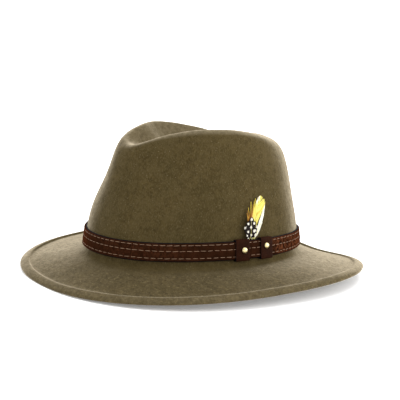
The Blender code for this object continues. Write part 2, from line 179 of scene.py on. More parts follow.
def felt_finish():
    """Olive wool felt: mottled, with a short nap, and a painted sheen: a pale colour blended in
    where it is seen edge on.
    """
    m = Finish("olive_felt")
    here = m.place()
    brushed = m.place(scale=(1.0, 1.0, 0.45))
    broad = m.noise(here, 24.0, 2.0)
    cloud = m.noise(here, 85.0, 4.0, 0.62)
    patch = m.noise(here, 260.0, 4.0, 0.65)
    fine = m.noise(brushed, 1100.0, 3.0, 0.7)
    shade = m.blend(m.span(patch, 0.30, 0.72), (0.0350, 0.0240, 0.0074), (0.0640, 0.0455, 0.0162))
    shade = m.blend(m.span(broad, 0.38, 0.62, 0.0, 0.5), shade, (0.0360, 0.0265, 0.0088))
    shade = m.blend(m.span(cloud, 0.34, 0.62, 0.5, 0.05), shade, (0.0660, 0.0480, 0.0190))
    shade = m.blend(m.span(fine, 0.42, 0.78, 0.0, 0.50), shade, (0.110, 0.086, 0.043))
    fleck = m.cells(here, 300.0)
    shade = m.blend(m.span(fleck, 0.05, 0.11, 0.6, 0.0), shade, (0.22, 0.18, 0.11))
    brim = m.attribute("brim")
    grit = m.noise(here, 420.0, 3.0, 0.7)
    dark_grit = m.times(brim, m.span(grit, 0.30, 0.48, 0.75, 0.0))
    shade = m.blend(dark_grit, shade, (0.0190, 0.0130, 0.0042))
    pale_grit = m.times(brim, m.span(grit, 0.54, 0.72, 0.0, 0.75))
    shade = m.blend(pale_grit, shade, (0.132, 0.101, 0.044))
    # Paler colour for worn nap at the welt and for painted light on the welt, the crown's ridges
    # and the walls of its dent
    wear_and_painted_light = m.attribute("wear_and_painted_light")
    pale = m.times(wear_and_painted_light, m.span(patch, 0.25, 0.75, 0.35, 0.80))
    shade = m.blend(pale, shade, (0.250, 0.208, 0.138))
    bumps = m.relief(fine, 0.00035, 0.9)
    bumps = m.relief(patch, 0.00060, 0.6, bumps)
    # Painted sheen: a pale colour blended in where the felt is seen edge on, stronger on the brim
    # and on the painted light, and broken into patches by the felt's own patterns
    edge = m.span(m.facing(), 0.42, 0.90, 0.0, 0.86)
    edge = m.math("POWER", edge, m.span(brim, 0.0, 1.0, 1.85, 2.25))
    brim_and_painted_light = m.math("MAXIMUM", brim, wear_and_painted_light)
    edge = m.times(edge, m.span(brim_and_painted_light, 0.0, 1.0, 0.86, 1.10))
    sheen_patches = m.span(fine, 0.25, 0.70, 0.55, 1.0)
    sheen_patches = m.times(sheen_patches, m.span(cloud, 0.34, 0.62, 1.08, 0.90))
    sheen_patches = m.times(sheen_patches, m.span(patch, 0.30, 0.68, 0.72, 1.12))
    sheen_patches = m.times(sheen_patches, m.span(grit, 0.32, 0.66, 0.82, 1.10))
    shade = m.blend(m.times(edge, sheen_patches), shade, (0.465, 0.395, 0.280))
    return m.finish(
        Base_Color=shade, Roughness=0.95, Normal=bumps, Specular_IOR_Level=0.04,
        Sheen_Weight=0.07, Sheen_Roughness=0.35, Sheen_Tint=(1.0, 0.92, 0.78),
    )


def nap_finish():
    """The single pale hairs of the nap."""
    m = Finish("felt_hairs")
    change = m.span(m.noise(m.place(), 900.0, 2.0), 0.35, 0.75)
    shade = m.blend(change, (0.046, 0.034, 0.014), (0.125, 0.100, 0.054))
    return m.finish(Base_Color=shade, Roughness=0.9, Specular_IOR_Level=0.1)


def leather_finish(name, dark, light, gloss, grain=1.0, creases_and_painted_light=False, shine=0.015):
    """Smooth dyed leather with a pebbled grain, and creases where the strap is pulled round, with
    painted highlights and painted shade in them and a painted sheen where it is seen edge on.
    """
    m = Finish(name)
    here = m.place()
    pebble = m.cells(here, 1350.0)
    cloud = m.noise(here, 120.0, 4.0, 0.6)
    pore = m.noise(here, 2600.0, 2.0)
    shade = m.blend(m.span(cloud, 0.3, 0.75), dark, light)
    shade = m.blend(m.span(pebble, 0.30, 0.75, 0.45, 0.0), shade, tuple(0.55 * c for c in dark))
    rough = m.span(m.noise(here, 300.0, 3.0), 0.3, 0.7, gloss - 0.07, gloss + 0.12)
    bumps = m.relief(pebble, 0.00010 * grain, 0.6)
    bumps = m.relief(pore, 0.00004 * grain, 0.5, bumps)
    if creases_and_painted_light:
        painted_light_zone = m.attribute("creased")
        crease = m.noise(m.place(scale=(1.0, 1.0, 0.55)), 420.0, 4.0, 0.62, 1.2)
        # Painted highlights on the creases' crests
        painted_highlight = m.times(m.span(crease, 0.46, 0.60), painted_light_zone)
        shade = m.blend(painted_highlight, shade, (0.100, 0.033, 0.0140))
        # Painted shade in the creases' hollows
        painted_crease_shade = m.times(m.span(crease, 0.36, 0.46, 1.0, 0.0), painted_light_zone)
        shade = m.blend(painted_crease_shade, shade, (0.008, 0.0030, 0.0016))
        depth = m.times(crease, painted_light_zone)
        bumps = m.relief(depth, 0.0016, 1.0, bumps)
        # Painted sheen: a paler reddish colour where the strap is seen edge on
        shade = m.blend(m.span(m.facing(), 0.45, 0.95, 0.0, 0.7), shade, (0.078, 0.022, 0.0085))
    return m.finish(Base_Color=shade, Roughness=rough, Normal=bumps, Specular_IOR_Level=shine)


def thread_finish():
    """Waxed tan thread, twisted."""
    m = Finish("tan_thread")
    here = m.place()
    twist = m.noise(m.place(scale=(1.0, 1.0, 2.0)), 1700.0, 2.0)
    shade = m.blend(m.span(twist, 0.3, 0.7), (0.160, 0.090, 0.055), (0.310, 0.210, 0.138))
    shade = m.blend(m.span(m.noise(here, 60.0), 0.4, 0.7, 0.0, 0.3), shade, (0.14, 0.065, 0.038))
    bumps = m.relief(twist, 0.0001, 0.8)
    return m.finish(Base_Color=shade, Roughness=0.7, Normal=bumps, Specular_IOR_Level=0.2)


def brass_finish():
    """Pale polished brass with fine scratches and a little tarnish."""
    m = Finish("pale_brass")
    here = m.place()
    scratch = m.noise(m.place(scale=(1.0, 1.0, 0.08), turn=(0.4, 0.9, 0.2)), 5200.0, 2.0)
    stain = m.noise(here, 700.0, 3.0)
    shade = m.blend(m.span(stain, 0.45, 0.8), (0.68, 0.57, 0.30), (0.48, 0.36, 0.16))
    rough = m.span(scratch, 0.35, 0.7, 0.20, 0.38)
    bumps = m.relief(scratch, 0.00003, 0.4)
    return m.finish(Base_Color=shade, Metallic=0.85, Roughness=rough, Normal=bumps)


def barb_finish(name, root, tip, streak, change=(0.30, 0.95)):
    """Feather barbs from one colour at the root to another at the tip, each a little different."""
    m = Finish(name)
    u = m.attribute("along")
    own = m.attribute("own")
    shade = m.blend(m.span(u, change[0], change[1]), root, tip)
    shade = m.blend(m.span(own, 0.60, 0.95, 0.0, 0.85), shade, streak)
    fine = m.noise(m.place(), 3000.0, 2.0)
    shade = m.blend(m.span(fine, 0.4, 0.8, 0.0, 0.15), shade, tuple(0.6 * c for c in root))
    bumps = m.relief(fine, 0.00006, 0.6)
    return m.finish(Base_Color=shade, Roughness=0.65, Normal=bumps, Specular_IOR_Level=0.12)


def dotted_finish():
    """Black-brown barbs with round white dots in staggered rows."""
    m = Finish("dotted_barbs")
    uv = m.node("TexCoord").outputs["UV"]
    split = m.node("SeparateXYZ", {"Vector": uv})
    wobble = m.math("SUBTRACT", m.noise(m.place(), 300.0, 1.0), 0.5)
    across = m.math("ADD", split.outputs["X"], m.times(wobble, 0.22))
    up = m.math("ADD", split.outputs["Y"], m.times(wobble, 0.30))
    row = m.math("FLOOR", up)
    shift = m.times(m.math("MODULO", row, 2.0), 0.5)
    column = m.math("SUBTRACT", m.math("FRACT", m.math("ADD", across, shift)), 0.5)
    level = m.math("SUBTRACT", m.math("FRACT", up), 0.5)
    wide = m.times(column, 1000.0 * DOT_STEP_ACROSS)
    high = m.times(level, 1000.0 * DOT_STEP_UP)
    square = m.math("ADD", m.times(wide, wide), m.times(high, high))
    spread = m.math("ADD", m.math("SQRT", square), m.times(wobble, 1.6))
    dot = m.span(spread, 1.00, 1.40, 1.0, 0.0)
    fine = m.noise(m.place(), 2800.0, 2.0)
    dark = m.blend(m.span(fine, 0.35, 0.75), (0.0040, 0.0028, 0.0024), (0.0180, 0.0110, 0.0080))
    shade = m.blend(dot, dark, (0.74, 0.70, 0.60))
    bumps = m.relief(fine, 0.00006, 0.6)
    return m.finish(Base_Color=shade, Roughness=0.6, Normal=bumps, Specular_IOR_Level=0.1)


# Shape building


def part_way(value, start, reach):
    """How far a value has gone from a start over a reach, kept between none and all of it."""
    return min(max((value - start) / reach, 0.0), 1.0)


def circle(sides):
    """Cosine and sine of even turns all the way round."""
    turns = [2 * math.pi * i / sides for i in range(sides)]
    return [(math.cos(turn), math.sin(turn)) for turn in turns]


def new_object(name, data):
    made = bpy.data.objects.new(name, data)
    bpy.context.scene.collection.objects.link(made)
    return made


def mesh_from(name, points, faces):
    mesh = bpy.data.meshes.new(name)
    mesh.from_pydata([tuple(p) for p in points], [], faces)
    mesh.validate()
    mesh.shade_smooth()
    return mesh


def settle(piece):
    """Works a piece's modifiers into its mesh."""
    graph = bpy.context.evaluated_depsgraph_get()
    graph.update()
    mesh = bpy.data.meshes.new_from_object(piece.evaluated_get(graph), depsgraph=graph)
    piece.modifiers.clear()
    piece.data = mesh


def loop_faces(rings, count, joined=False):
    """Quads between rings of points; the last joins the first, or else both ends are closed."""
    faces = []
    for k in range(rings if joined else rings - 1):
        low = k * count
        high = ((k + 1) % rings) * count
        for i in range(count):
            j = (i + 1) % count
            faces.append((low + i, low + j, high + j, high + i))
    if not joined:
        faces.append(tuple(range(count))[::-1])
        faces.append(tuple((rings - 1) * count + i for i in range(count)))
    return faces


def closed_mesh(name, points, faces, *finishes):
    """A closed shape, every face turned to its outer side, with its finishes."""
    mesh = mesh_from(name, points, faces)
    work = bmesh.new()
    work.from_mesh(mesh)
    bmesh.ops.recalc_face_normals(work, faces=work.faces)
    work.to_mesh(mesh)
    work.free()
    for finish in finishes:
        mesh.materials.append(finish)
    return mesh


def point_values(mesh, name, values):
    """Gives each point of a mesh a number for its finish to read."""
    mesh.attributes.new(name, "FLOAT", "POINT").data.foreach_set("value", values)


def finish_piece(piece, slot, *nodes):
    """Fixes a piece to the hat and hides the plain solid it stands for; its slot is not used."""
    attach(piece, "root")
    if nodes:
        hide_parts(*nodes)


# Felt

# How uneven the felt is, broadly and closely, and the height under which it lies flat
BROAD_WAVE = 0.00028
SMALL_WAVE = 0.00008
FLAT_FOOT = 0.0008

# Where the felt is painted paler: the welt's width and share, partly worn nap
# and partly painted light; the height from which the crown's top gets a painted
# highlight; and the share of painted light on the walls of its dent
WELT_WIDTH = 0.009
WELT_PALE_SHARE = 0.22
PAINTED_LIGHT_FROM = 0.092
WALL_PAINTED_LIGHT = 0.38


def make_felt():
    """The crown, brim and edge: the solid's own form, rounded off and made a little uneven."""
    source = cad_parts["felt_body"]
    work = bmesh.new()
    work.from_mesh(source.data)
    bmesh.ops.remove_doubles(work, verts=work.verts, dist=1e-6)
    bmesh.ops.join_triangles(
        work, faces=work.faces, angle_face_threshold=math.pi, angle_shape_threshold=math.pi
    )
    mesh = bpy.data.meshes.new("felt_skin")
    work.to_mesh(mesh)
    work.free()
    piece = new_object("felt_skin", mesh)
    rounding = piece.modifiers.new("rounding", "SUBSURF")
    rounding.levels = 2
    rounding.render_levels = 2
    settle(piece)
    even = [vertex.co.copy() for vertex in piece.data.vertices]
    outward = [vertex.normal.copy() for vertex in piece.data.vertices]
    uneven = []
    for spot, out in zip(even, outward):
        if spot.z > FLAT_FOOT:
            broad = noise.noise(spot * 22.0 + Vector((3.1, 7.7, 1.9)))
            small = noise.noise(spot * 140.0)
            spot = spot + out * (BROAD_WAVE * broad + SMALL_WAVE * small)
            spot.z = max(spot.z, 0.0)
        uneven.extend(spot)
    piece.data.vertices.foreach_set("co", uneven)
    piece.data.update()
    piece.data.shade_smooth()
    point_values(piece.data, "wear_and_painted_light", [wear_and_light_share(spot, out) for spot, out in zip(even, outward)])
    point_values(piece.data, "brim", [brim_share(spot) for spot in even])
    piece.data.materials.clear()
    piece.data.materials.append(felt_finish())
    finish_piece(piece, "felt", "felt_body")
    return piece


def brim_share(spot):
    """One on the brim, where the nap is coarser, and nothing on the crown."""
    across = spot.x / (HEAD_WIDTH / 2 + 0.004)
    along = spot.y / (HEAD_LENGTH / 2 + 0.004)
    return part_way(math.hypot(across, along), 1.0, 0.12)


def wear_and_light_share(spot, facing):
    """How much paler the felt is painted: at the brim's welt, for worn nap and painted light, and
    as a painted highlight along the ridges and on the dent's walls on top, fading where shade falls
    down in the dent.
    """
    turn = math.atan2(spot.x, -spot.y)
    across = abs(math.sin(turn) / (BRIM_WIDTH / 2)) ** BRIM_POWER
    along = abs(math.cos(turn) / (BRIM_LENGTH / 2)) ** BRIM_POWER
    inside = (across + along) ** (-1 / BRIM_POWER) - math.hypot(spot.x, spot.y)
    welt = 1.0 - part_way(inside, WELT_WIDTH, 0.004)
    inwards = -facing.x if spot.x > 0 else facing.x
    high = part_way(spot.z, PAINTED_LIGHT_FROM, 0.015)
    wall = WALL_PAINTED_LIGHT * part_way(inwards, 0.02, 0.35)
    crest = part_way(facing.z, 0.76, 0.22)
    # Less painted highlight down in the dent's valley, where shade falls
    behind = spot.y - 0.010
    valley = (behind if behind > 0 else 0.5 * behind) / (HEAD_LENGTH / 2)
    from_middle = math.hypot(spot.x / (HEAD_WIDTH / 2), valley)
    sunk = 1.0 - part_way(from_middle, 0.22, 0.24)
    painted_light_zone = high * max(wall * (1.0 - 0.5 * sunk), crest * (1.0 - 0.85 * sunk))
    return max(WELT_PALE_SHARE * welt, painted_light_zone if facing.z > 0 else 0.0)


class Crown:
    """Finds places on the crown's outer side by turn, height and distance out."""

    def __init__(self, skin):
        work = bmesh.new()
        work.from_mesh(skin.data)
        self.tree = BVHTree.FromBMesh(work)
        work.free()

    def surface(self, turn, height):
        angle = math.radians(turn)
        outward = Vector((math.sin(angle), -math.cos(angle), 0.0))
        start = Vector((0.0, 0.0, height)) + outward * OUTSIDE_CROWN
        hit, _, _, _ = self.tree.ray_cast(start, -outward)
        return hit

    def normal(self, turn, height):
        around = self.surface(turn + 1.5, height) - self.surface(turn - 1.5, height)
        above = self.surface(turn, height + 0.002) - self.surface(turn, height - 0.001)
        return around.cross(above).normalized()

    def place(self, turn, rise, out):
        height = band_foot(turn) + rise
        return self.surface(turn, height) + self.normal(turn, height) * out

    def facing(self, turn):
        """The way straight out from the crown at the band's middle."""
        return self.normal(turn, band_foot(turn) + BAND_HEIGHT / 2)

    def on_band(self, turn, share, away):
        """A place by turn, share of the band's height and distance straight out."""
        foot = self.surface(turn, band_foot(turn))
        top = self.surface(turn, band_foot(turn) + BAND_HEIGHT)
        return foot + (top - foot) * share + self.facing(turn) * away


def band_foot(turn):
    """Height of the band's lower edge: a little higher at the wearer's sides."""
    return BAND_BASE + BAND_LIFT * (1 - math.cos(2 * math.radians(turn))) / 2


def bulge(turn):
    """How far the band stands out over the keepers' back walls and the quills."""
    half = (REAR_KEEPER - FRONT_KEEPER) / 2 + KEEPER_TURN
    ramp = 1.0 - part_way(abs(turn - BETWEEN_KEEPERS), half + 1.0, BULGE_SPREAD)
    return (KEEPER_WALL + GAP) * ramp * ramp * (3 - 2 * ramp)


def hair_blade():
    """One hair of the nap: a thin bent blade that stands on its root."""
    half = HAIR_HALF_WIDTH
    middle = HAIR_LENGTH / 2
    points = (
        (-half, 0, 0), (half, 0, 0), (half * 0.8, 0.00012, middle), (-half * 0.8, 0.00012, middle),
        (0, 0.0005, HAIR_LENGTH),
    )
    return mesh_from("hair_blade", points, ((0, 1, 2, 3), (3, 2, 4)))


def node_tree(name, inputs):
    """An empty growing rule: a shape and named values go in, the grown shape comes out."""
    tree = bpy.data.node_groups.new(name, "GeometryNodeTree")
    tree.interface.new_socket("Geometry", in_out="INPUT", socket_type="NodeSocketGeometry")
    for label, kind in inputs:
        tree.interface.new_socket(label, in_out="INPUT", socket_type="NodeSocket" + kind)
    tree.interface.new_socket("Geometry", in_out="OUTPUT", socket_type="NodeSocketGeometry")
    return tree


def end_tree(tree, part, points, rotation, size, finish):
    """The close of a growing rule: a real copy of a part at each point, with its finish on."""
    source = tree_node(tree, "GeometryNodeObjectInfo", {"Object": part}).outputs["Geometry"]
    copies = tree_node(tree, "GeometryNodeInstanceOnPoints", {
        "Points": points, "Instance": source, "Rotation": rotation, "Scale": size,
    }).outputs["Instances"]
    real = tree_node(tree, "GeometryNodeRealizeInstances", {"Geometry": copies}).outputs["Geometry"]
    coat = tree_node(tree, "GeometryNodeSetMaterial", {"Geometry": real, "Material": finish})
    end = tree.nodes.new("NodeGroupOutput")
    tree.links.new(coat.outputs["Geometry"], end.inputs["Geometry"])
    return tree


def grow(name, base_mesh, tree, values):
    """Grows small parts on a shape and gives them as one plain piece."""
    piece = new_object(name, base_mesh)
    modifier = piece.modifiers.new(name, "NODES")
    modifier.node_group = tree
    for item in tree.interface.items_tree:
        if item.in_out == "INPUT" and item.name in values:
            modifier[item.identifier] = values[item.name]
    settle(piece)
    piece.data.materials.clear()
    piece.data.materials.append(values["Finish"])
    return piece


def turn_about(tree, rotation, axis, angle):
    """Turns each copy a little more, about its own axis."""
    spin = tree_node(tree, "FunctionNodeAxisAngleToRotation", {"Axis": axis, "Angle": angle})
    turned = tree_node(
        tree, "FunctionNodeRotateRotation",
        {"Rotation": rotation, "Rotate By": spin.outputs["Rotation"]}, rotation_space="LOCAL",
    )
    return turned.outputs["Rotation"]


def random_value(tree, low, high, seed):
    inputs = {RANDOM_LOW: low, RANDOM_HIGH: high, "Seed": seed}
    made = tree_node(tree, "FunctionNodeRandomValue", inputs, data_type="FLOAT")
    return made.outputs[RANDOM_NUMBER]


def nap_tree():
    """Scatters hairs over a surface, lying low and every way round."""
    tree = node_tree("felt_nap_tree", (
        ("Hair", "Object"), ("Density", "Float"), ("Seed", "Int"), ("Finish", "Material"),
    ))
    given = tree.nodes.new("NodeGroupInput").outputs
    scatter = tree_node(tree, "GeometryNodeDistributePointsOnFaces", {
        "Mesh": given["Geometry"], "Density": given["Density"], "Seed": given["Seed"],
    })
    spin = random_value(tree, 0.0, 6.283, 5)
    rotation = turn_about(tree, scatter.outputs["Rotation"], (0, 0, 1), spin)
    rotation = turn_about(tree, rotation, (1, 0, 0), random_value(tree, -1.25, -0.55, 6))
    size = random_value(tree, 0.5, 1.15, 7)
    return end_tree(tree, given["Hair"], scatter.outputs["Points"], rotation, size, given["Finish"])


def make_nap(skin):
    """The pale hairs that stand out of the felt all over."""
    hair = new_object("hair_blade", hair_blade())
    values = {"Hair": hair, "Density": NAP_DENSITY, "Seed": 11, "Finish": nap_finish()}
    nap = grow("felt_nap", skin.data.copy(), nap_tree(), values)
    bpy.data.objects.remove(hair)
    spots = np.empty(3 * len(nap.data.vertices))
    nap.data.vertices.foreach_get("co", spots)
    spots[2::3] = np.maximum(spots[2::3], HAIR_CLEARANCE)
    nap.data.vertices.foreach_set("co", spots)
    nap.data.update()
    finish_piece(nap, "felt")


# Band

# The strap's margins to the backing's lower and upper edge, and how deep and
# wide it is drawn in along a stitch row
MARGIN_BELOW = 0.0009
MARGIN_ABOVE = 0.0007
GROOVE_DEPTH = 0.00030
GROOVE_WIDTH = 0.00085


def band_piece(name, profile, columns, crown, finish, extra=None):
    """A strap all round the crown from a closed profile of rise and distance out."""
    points = []
    creased = []
    lowest = min(rise for rise, _ in profile)
    highest = max(rise for rise, _ in profile)
    for k in range(columns):
        turn = k * 360.0 / columns
        swell = bulge(turn)
        low = crown.place(turn, lowest, 0.0)
        high = crown.place(turn, highest, 0.0)
        out = crown.facing(turn)
        for rise, away in profile:
            share = (rise - lowest) / (highest - lowest)
            shift = extra(turn, rise, away) if extra else 0.0
            points.append(low.lerp(high, share) + out * (away + swell + shift))
            creased.append(crease_share(turn))
    mesh = closed_mesh(name, points, loop_faces(columns, len(profile), joined=True), finish)
    point_values(mesh, "creased", creased)
    return new_object(name, mesh)


def crease_share(turn):
    """Where the strap is creased by its pull round the wearer's left and back."""
    rise = part_way(turn, 104.0, 10.0)
    fall = part_way(236.0 - turn, 0.0, 40.0)
    other = 0.22 * part_way(math.sin(math.radians(turn * 3.0)), -0.2, 1.0)
    return max(rise * fall, other)


def strap_groove(turn, rise, away):
    """The strap is drawn in along each stitch row and stands up between the rows."""
    if away < STRAP_OUT - 0.0004:
        return 0.0
    share = rise / BAND_HEIGHT
    near = min(abs(share - row) for row in STITCH_ROWS) * BAND_HEIGHT
    groove = -GROOVE_DEPTH * math.exp(-(near / GROOVE_WIDTH) ** 2)
    angle = math.radians(turn)
    spot = Vector((math.sin(angle) * 0.1, math.cos(angle) * 0.1, rise))
    ripple = noise.noise(spot * 260.0) * 0.00022 + noise.noise(spot * 620.0) * 0.00012
    return groove + ripple * crease_share(turn) * 2.0


def rounded_profile(low, high, inner, outer, steps, soft):
    """A closed strap profile with softened outer corners."""
    points = [(low, inner), (low, outer - soft), (low + 0.3 * soft, outer - 0.3 * soft)]
    for i in range(steps + 1):
        points.append((low + soft + (high - low - 2 * soft) * i / steps, outer))
    points += [(high - 0.3 * soft, outer - 0.3 * soft), (high, outer - soft), (high, inner)]
    return points


def make_band(crown):
    """The dark backing strap, and the brown stitched strap on it."""
    profile = rounded_profile(0.0, BAND_HEIGHT, GAP, GAP + BACKING, 4, 0.0003)
    dark_hide = leather_finish(
        "backing_leather", (0.005, 0.0045, 0.006), (0.011, 0.008, 0.009), 0.5,
    )
    backing = band_piece("leather_backing", profile, 240, crown, dark_hide)
    finish_piece(backing, "backing_leather", "band_backing")
    top = BAND_HEIGHT - MARGIN_ABOVE
    profile = rounded_profile(MARGIN_BELOW, top, STRAP_IN, STRAP_OUT, 34, 0.0004)
    brown_hide = leather_finish(
        "strap_leather", (0.0175, 0.0062, 0.0027), (0.0330, 0.0112, 0.0049), 0.42,
        creases_and_painted_light=True, shine=0.0,
    )
    strap = band_piece("leather_strap", profile, 540, crown, brown_hide, strap_groove)
    finish_piece(strap, "strap_leather", "band_face")


def stitch_shape():
    """One stitch: a short thread that rises out of the leather and goes back in."""
    sides = 6
    rings = 7
    points = []
    for k in range(rings):
        u = k / (rings - 1)
        round_end = math.sqrt(max(1.0 - (2 * u - 1) ** 8, 0.05))
        lift = -0.00014 + 0.00026 * (1.0 - (2 * u - 1) ** 6)
        for across, up in circle(sides):
            y = STITCH_RADIUS * round_end * across
            z = STITCH_RADIUS * 0.8 * round_end * up + lift
            points.append(((u - 0.5) * STITCH_LENGTH, y, z))
    return closed_mesh("stitch", points, loop_faces(rings, sides))


def stitch_tree():
    """Sets stitches at even steps along a row, each a little off true."""
    tree = node_tree("stitch_row_tree", (
        ("Stitch", "Object"), ("Pitch", "Float"), ("Finish", "Material"),
    ))
    given = tree.nodes.new("NodeGroupInput").outputs
    path = tree_node(tree, "GeometryNodeMeshToCurve", {"Mesh": given["Geometry"]})
    even = tree_node(
        tree, "GeometryNodeResampleCurve",
        {"Curve": path.outputs["Curve"], "Length": given["Pitch"]}, mode="LENGTH",
    )
    tangent = tree.nodes.new("GeometryNodeInputTangent").outputs["Tangent"]
    out = tree_node(
        tree, "GeometryNodeInputNamedAttribute", {"Name": "out"}, data_type="FLOAT_VECTOR",
    )
    run = tree_node(tree, "FunctionNodeAlignRotationToVector", {"Vector": tangent}, axis="X")
    face = tree_node(
        tree, "FunctionNodeAlignRotationToVector",
        {"Rotation": run.outputs["Rotation"], "Vector": out.outputs["Attribute"]},
        axis="Z", pivot_axis="X",
    )
    askew = random_value(tree, -0.07, 0.09, 3)
    rotation = turn_about(tree, face.outputs["Rotation"], (0, 0, 1), askew)
    inputs = {"X": random_value(tree, 0.86, 1.06, 4), "Y": 1.0, "Z": 1.0}
    size = tree_node(tree, "ShaderNodeCombineXYZ", inputs).outputs["Vector"]
    return end_tree(tree, given["Stitch"], even.outputs["Curve"], rotation, size, given["Finish"])


def make_stitches(crown):
    """Three rows of running stitches round the strap."""
    points = []
    normals = []
    edges = []
    count = 360
    away = STRAP_OUT - STITCH_SUNK
    for share in STITCH_ROWS:
        first = len(points)
        for k in range(count):
            turn = k * 360.0 / count + 90.0 * share
            out = crown.facing(turn)
            rise = share * BAND_HEIGHT
            height = band_foot(turn) + rise
            points.append(crown.surface(turn, height) + out * (away + bulge(turn % 360.0)))
            normals.append(out)
            edges.append((first + k, first + (k + 1) % count))
    rows = bpy.data.meshes.new("stitch_rows")
    rows.from_pydata([tuple(p) for p in points], edges, [])
    layer = rows.attributes.new("out", "FLOAT_VECTOR", "POINT")
    layer.data.foreach_set("vector", [c for n in normals for c in n])
    stitch = new_object("stitch", stitch_shape())
    values = {"Stitch": stitch, "Pitch": STITCH_PITCH, "Finish": thread_finish()}
    piece = grow("band_stitches", rows, stitch_tree(), values)
    bpy.data.objects.remove(stitch)
    piece.data.shade_smooth()
    finish_piece(piece, "strap_leather")


# Keepers and rivets

# A keeper's corners: their radius, and the longest step along its outline
KEEPER_ROUND = 0.0011
LOOP_STEP = 0.0016

# A keeper's edges: from which share of its half width its faces draw
# together, and how far
EDGE_FROM = 0.86
EDGE_PULL = 0.00022


def soft_loop(low, high, inner, outer, soft, corner=5):
    """A rounded rectangle of rise and distance out, points going one way round."""
    points = []
    corners = (
        (low + soft, inner + soft, 180.0), (high - soft, inner + soft, 270.0),
        (high - soft, outer - soft, 0.0), (low + soft, outer - soft, 90.0),
    )
    for rise, out, start in corners:
        for i in range(corner + 1):
            angle = math.radians(start + 90.0 * i / corner)
            points.append((rise + soft * math.cos(angle), out + soft * math.sin(angle)))
    filled = []
    for k, (rise, out) in enumerate(points):
        next_rise, next_out = points[(k + 1) % len(points)]
        span = math.dist((rise, out), (next_rise, next_out))
        pieces = max(1, round(span / LOOP_STEP))
        for i in range(pieces):
            u = i / pieces
            filled.append((rise + (next_rise - rise) * u, out + (next_out - out) * u))
    return filled


def keeper_loops():
    """A keeper's outer and inner outline, as rise and distance out, with matching points."""
    band_in = GAP + KEEPER_WALL + GAP
    band_out = band_in + BACKING + GAP + STRAP
    low, high = -GAP - KEEPER_WALL, BAND_HEIGHT + GAP + KEEPER_WALL
    outside = soft_loop(low, high, GAP, band_out + GAP + KEEPER_WALL, KEEPER_ROUND)
    inside = []
    for rise, out in outside:
        inner_rise = min(max(rise, -GAP), BAND_HEIGHT + GAP)
        inner_out = min(max(out, band_in - GAP), band_out + GAP)
        inside.append((inner_rise, inner_out))
    return outside, inside


def make_keeper(name, node, turn, crown, skins):
    """A leather loop round the band, with rounded painted edges."""
    outside, inside = keeper_loops()
    steps = (-1.0, -0.985, -0.94, -EDGE_FROM, -0.5, 0.0, 0.5, EDGE_FROM, 0.94, 0.985, 1.0)
    points = []
    for loop, other, order in ((outside, inside, steps), (inside, outside, steps[::-1])):
        for u in order:
            pull = EDGE_PULL * max(0.0, (abs(u) - EDGE_FROM) / (1.0 - EDGE_FROM)) ** 2
            for (rise, away), (far_rise, far_away) in zip(loop, other):
                toward = Vector((far_rise - rise, far_away - away))
                if toward.length > 0:
                    toward = toward.normalized() * pull
                share = (rise + toward.x) / BAND_HEIGHT
                points.append(crown.on_band(turn + KEEPER_TURN * u, share, away + toward.y))
    faces = loop_faces(2 * len(steps), len(outside), joined=True)
    mesh = closed_mesh(name, points, faces, *skins)
    count = len(steps)
    painted = (0, count - 2, count - 1, count, 2 * count - 2, 2 * count - 1)
    for face in mesh.polygons:
        if face.index // len(outside) in painted:
            face.material_index = 1
    finish_piece(new_object(name, mesh), "keeper_leather", node)


def make_rivet(name, node, turn, rise, crown, brass):
    """A low domed rivet with a rolled rim, seated in the keeper's face."""
    face = GAP + KEEPER_WALL + GAP + BACKING + GAP + STRAP + GAP + KEEPER_WALL
    middle = crown.on_band(turn, rise / BAND_HEIGHT, face)
    aim = Vector((0, 0, 1)).rotation_difference(crown.facing(turn)).to_matrix()
    profile = [(0.0009, -0.0009), (0.0009, 0.0001), (0.0022, 0.00008), (0.00255, 0.00018)]
    profile.append((RIVET_RADIUS, 0.00040))
    for i in range(1, 9):
        angle = math.pi / 2 * i / 9
        across = RIVET_RADIUS * math.cos(angle) ** 0.9
        profile.append((across, 0.0004 + RIVET_DOME * 0.85 * math.sin(angle)))
    sides = 32
    points = []
    for r, h in profile:
        for across, up in circle(sides):
            points.append(middle + aim @ Vector((r * across, r * up, h)))
    mesh = closed_mesh(name, points, loop_faces(len(profile), sides), brass)
    finish_piece(new_object(name, mesh), "rivet_brass", node)


# Feathers

# How each feather stands: its quill's place from the middle between the
# keepers, length over the band, lean and bend sideways and distance out from
# the crown; its barbs on each side, how far each climbs and half its width;
# and how far up barbs and shaft go. The climb and those two are shares of the
# length
Feather = namedtuple("Feather", "quill length lean bend layer barbs climb half_width barbed shaft")
FEATHERS = {
    "guinea": Feather(-0.00310, 0.0195, -0.0002, -0.0004, 0.0031, 72, 0.16, 0.00024, 0.985, 0.96),
    "amber": Feather(-0.00065, 0.0345, -0.0034, -0.0010, 0.0022, 34, 0.30, 0.00024, 0.34, 0.40),
    "yellow": Feather(0.00065, 0.0370, 0.0085, -0.0020, 0.0013, 120, 0.31, 0.00026, 0.985, 0.96),
    "cream": Feather(0.00195, 0.0305, 0.0125, 0.0014, 0.0005, 90, 0.30, 0.00022, 0.985, 0.96),
}

# A feather's clearance to the crown, the rise over the band in which it comes
# out to its layer, and how far its tip stands out more
FEATHER_CLEARANCE = 0.0005
EASE_RISE = 0.0036
TIP_OUT = 0.0012

